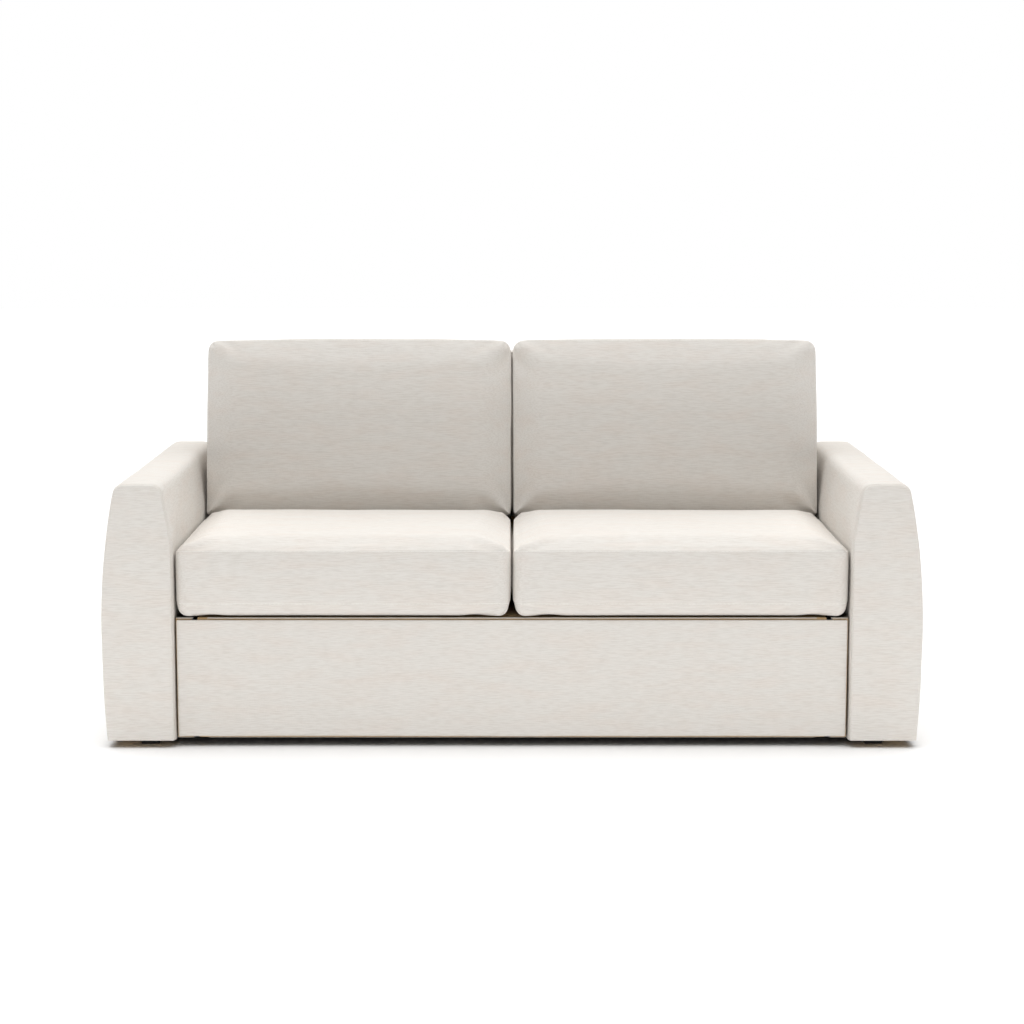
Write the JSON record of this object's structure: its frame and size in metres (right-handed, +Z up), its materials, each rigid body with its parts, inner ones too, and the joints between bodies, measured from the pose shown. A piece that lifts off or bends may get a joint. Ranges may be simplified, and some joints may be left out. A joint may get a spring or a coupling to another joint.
{
  "type": "sleeper sofa",
  "caption": "Upholstered sleeper sofa with slab arms and loose-look box cushions; its seat lifts forward on swing links and unfolds into a flat bed.",
  "frame": {"origin": "centre of the footprint on the floor", "axes": "+X to the right seen from the front, along the sofa's length; +Y to the rear; +Z up"},
  "size_m": [1.98, 0.98, 0.945],
  "materials": {
    "upholstery": "woven oatmeal linen-look upholstery fabric over padding",
    "mattress_ticking": "quilted cotton ticking over foam",
    "black_cloth": "black non-woven and woven polypropylene cloth",
    "webbing": "woven elastic webbing and hook-and-loop strip",
    "plywood": "raw plywood",
    "softwood": "planed softwood",
    "black_plastic": "moulded black plastic",
    "zinc_steel": "zinc plated steel",
    "painted_steel": "powder coated steel"
  },
  "bodies": {
    "sofa_frame": {"arm_cover_left": "upholstery", "arm_cover_right": "upholstery", "arm_front_panel_left": "upholstery", "arm_front_panel_right": "upholstery", "arm_ribs_left": "plywood", "arm_ribs_right": "plywood", "arm_base_boards": "plywood", "arm_top_boards": "plywood", "arm_inner_boards": "plywood", "back_posts": "softwood", "back_ribs": "softwood", "back_lower_rail": "softwood", "back_top_rail": "softwood", "back_webbing": "webbing", "inside_back_pad": "upholstery", "outside_back_cover": "upholstery", "rear_base_rail": "softwood", "feet": "black_plastic", "front_tie_bar": "painted_steel", "dust_cover": "black_cloth", "mechanism_plate_left": "zinc_steel", "mechanism_plate_right": "zinc_steel", "back_cushion_left": "upholstery", "back_cushion_right": "upholstery"},
    "front_links": {"front_swing_arm_left": "zinc_steel", "front_swing_arm_right": "zinc_steel", "front_torque_tube": "painted_steel"},
    "rear_links": {"rear_swing_arm_left": "zinc_steel", "rear_swing_arm_right": "zinc_steel", "rear_torque_tube": "painted_steel"},
    "bed_platform": {"bed_side_rail_left": "painted_steel", "bed_side_rail_right": "painted_steel", "bed_crossbars": "painted_steel", "bed_deck": "black_cloth", "mattress_body": "mattress_ticking", "front_leg_pins": "zinc_steel"},
    "front_rail": {"front_rail_board": "plywood", "front_rail_cover": "upholstery", "rail_side_bar_left": "zinc_steel", "rail_side_bar_right": "zinc_steel", "rail_hinge_pins": "zinc_steel", "mattress_bend": "mattress_ticking"},
    "seat_platform": {"seat_side_rail_left": "painted_steel", "seat_side_rail_right": "painted_steel", "seat_crossbars": "painted_steel", "seat_deck": "plywood", "mattress_foot": "mattress_ticking", "seat_cushion_left": "upholstery", "seat_cushion_right": "upholstery", "cushion_strips": "webbing", "foot_leg_brackets": "painted_steel"},
    "front_legs": {"front_leg_left": "painted_steel", "front_leg_right": "painted_steel", "front_leg_glides": "black_plastic"},
    "foot_leg_left": {"foot_leg_left": "painted_steel", "foot_leg_glide_left": "black_plastic"},
    "foot_leg_right": {"foot_leg_right": "painted_steel", "foot_leg_glide_right": "black_plastic"}
  },
  "joints": [
    {"name": "bed_pull_out", "type": "hinge", "parent": "sofa_frame", "child": "front_links", "pos_m": [0, -0.27885, 0.04562], "axis": [1, 0, 0], "range_deg": [0, 95]},
    {"name": "platform_level", "type": "hinge", "parent": "front_links", "child": "bed_platform", "pos_m": [0, 0, 0.071], "axis": [1, 0, 0], "range_deg": [-95, 0]},
    {"name": "rail_turn", "type": "hinge", "parent": "bed_platform", "child": "front_rail", "pos_m": [0, -0.453, 0.074], "axis": [1, 0, 0], "range_deg": [0, 90]},
    {"name": "seat_turn", "type": "hinge", "parent": "front_rail", "child": "seat_platform", "pos_m": [0, -0.453, 0.296], "axis": [1, 0, 0], "range_deg": [0, 90]},
    {"name": "rear_link_swing", "type": "hinge", "parent": "sofa_frame", "child": "rear_links", "pos_m": [0, 0.07115, 0.04562], "axis": [1, 0, 0], "range_deg": [0, 95]},
    {"name": "front_legs_fold", "type": "hinge", "parent": "bed_platform", "child": "front_legs", "pos_m": [0, -0.39, 0.071], "axis": [-1, 0, 0], "range_deg": [0, 90]},
    {"name": "foot_leg_left_fold", "type": "hinge", "parent": "seat_platform", "child": "foot_leg_left", "pos_m": [-0.7, 0.125, 0.331], "axis": [0, -1, 0], "range_deg": [0, 90]},
    {"name": "foot_leg_right_fold", "type": "hinge", "parent": "seat_platform", "child": "foot_leg_right", "pos_m": [0.7, 0.125, 0.331], "axis": [0, 1, 0], "range_deg": [0, 90]}
  ],
  "couplings": [
    {"joint": "platform_level", "follows": "bed_pull_out", "ratio": -1},
    {"joint": "rail_turn", "follows": "bed_pull_out", "ratio": 0.94737},
    {"joint": "seat_turn", "follows": "bed_pull_out", "ratio": 0.94737},
    {"joint": "rear_link_swing", "follows": "bed_pull_out", "ratio": 1},
    {"joint": "front_legs_fold", "follows": "bed_pull_out", "ratio": 0.94737},
    {"joint": "foot_leg_left_fold", "follows": "bed_pull_out", "ratio": 0.94737},
    {"joint": "foot_leg_right_fold", "follows": "bed_pull_out", "ratio": 0.94737}
  ]
}
